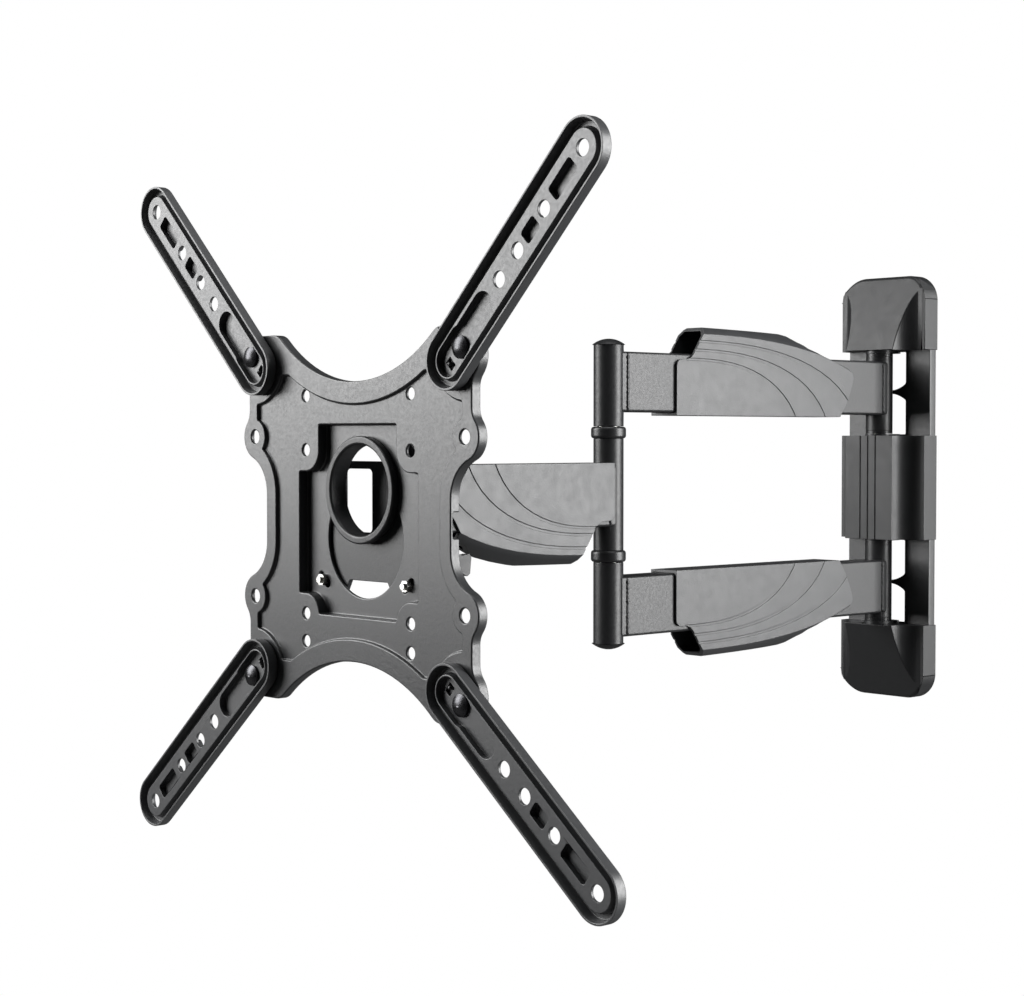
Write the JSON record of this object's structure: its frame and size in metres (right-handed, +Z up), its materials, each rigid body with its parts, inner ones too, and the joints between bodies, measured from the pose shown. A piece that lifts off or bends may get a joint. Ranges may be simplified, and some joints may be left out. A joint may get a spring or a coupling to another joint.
{
  "type": "tv wall mount",
  "caption": "Full-motion wall mount for a flat screen: folding arm on a wall plate, swivel and tilt head, and a stamped screen plate with slotted adapter arms.",
  "frame": {"origin": "on the wall plane, midway between the two lag bolt holes of the wall plate", "axes": "+Y into the wall, +X to the right when facing the wall, +Z up; the screen side is -Y"},
  "size_m": [0.4515, 0.5314, 0.4261],
  "materials": {
    "painted_bracket": "satin graphite powder coat on steel sheet",
    "painted_sheet": "satin graphite powder coat on stamped steel sheet",
    "painted_tube": "satin graphite powder coat on steel tube",
    "moulded_cover": "fine satin texture, dark grey",
    "nylon_bush": "smooth black nylon",
    "black_bolt": "black zinc, slightly glossy",
    "zinc_hardware": "bright zinc plate"
  },
  "bodies": {
    "wall": {"wall_plate": "painted_bracket", "pivot_lugs": "painted_bracket", "pivot_bolts": "zinc_hardware", "pivot_nuts": "zinc_hardware", "top_cap": "moulded_cover", "bottom_cap": "moulded_cover", "centre_cover": "moulded_cover"},
    "first_arm": {"upper_wall_sleeve": "painted_tube", "lower_wall_sleeve": "painted_tube", "wall_bushes": "nylon_bush", "upper_arm_tube": "painted_tube", "lower_arm_tube": "painted_tube", "upper_elbow_sleeve": "painted_tube", "lower_elbow_sleeve": "painted_tube", "elbow_shaft": "zinc_hardware", "elbow_caps": "moulded_cover", "upper_arm_cover": "moulded_cover", "lower_arm_cover": "moulded_cover"},
    "second_arm": {"elbow_middle_sleeve": "painted_tube", "elbow_collars": "nylon_bush", "second_arm_tube": "painted_tube", "second_arm_cover": "moulded_cover", "swivel_sleeve": "painted_tube", "swivel_bushes": "nylon_bush"},
    "swivel_head": {"swivel_yoke": "painted_bracket", "swivel_bolt": "zinc_hardware", "swivel_nut": "zinc_hardware", "tilt_bolts": "zinc_hardware", "tilt_nuts": "zinc_hardware", "lock_bolt": "zinc_hardware", "tilt_lever": "moulded_cover"},
    "tilt_head": {"head_plate": "painted_bracket", "eyelet": "painted_tube", "lock_studs": "zinc_hardware", "lock_nuts": "zinc_hardware"},
    "screen_plate": {"vesa_plate": "painted_sheet", "arm_bolts": "black_bolt", "arm_nuts": "black_bolt"},
    "arm_upper_right": {"tray_upper_right": "painted_sheet"},
    "arm_upper_left": {"tray_upper_left": "painted_sheet"},
    "arm_lower_left": {"tray_lower_left": "painted_sheet"},
    "arm_lower_right": {"tray_lower_right": "painted_sheet"}
  },
  "joints": [
    {"name": "wall_swing", "type": "hinge", "parent": "wall", "child": "first_arm", "pos_m": [0, -0.0195, 0], "axis": [0, 0, 1], "range_deg": [-90, 90]},
    {"name": "elbow_swing", "type": "hinge", "parent": "first_arm", "child": "second_arm", "pos_m": [0, -0.3093, 0], "axis": [0, 0, -1], "range_deg": [-135, 135]},
    {"name": "head_swivel", "type": "hinge", "parent": "second_arm", "child": "swivel_head", "pos_m": [0, -0.475, 0], "axis": [0, 0, 1], "range_deg": [-75, 75]},
    {"name": "head_tilt", "type": "hinge", "parent": "swivel_head", "child": "tilt_head", "pos_m": [0, -0.5035, 0], "axis": [1, 0, 0], "range_deg": [-5, 15]},
    {"name": "plate_level", "type": "hinge", "parent": "tilt_head", "child": "screen_plate", "pos_m": [0, -0.5235, 0.0063], "axis": [0, 1, 0], "range_deg": [-3, 3]},
    {"name": "upper_right_angle", "type": "hinge", "parent": "screen_plate", "child": "arm_upper_right", "pos_m": [0.1, -0.5235, 0.088], "axis": [0, -1, 0], "range_deg": [-7, 7]},
    {"name": "upper_left_angle", "type": "hinge", "parent": "screen_plate", "child": "arm_upper_left", "pos_m": [-0.1, -0.5235, 0.088], "axis": [0, -1, 0], "range_deg": [-8, 6]},
    {"name": "lower_left_angle", "type": "hinge", "parent": "screen_plate", "child": "arm_lower_left", "pos_m": [-0.1, -0.5235, -0.112], "axis": [0, -1, 0], "range_deg": [-3, 11]},
    {"name": "lower_right_angle", "type": "hinge", "parent": "screen_plate", "child": "arm_lower_right", "pos_m": [0.1, -0.5235, -0.112], "axis": [0, -1, 0], "range_deg": [-14, 0]}
  ]
}
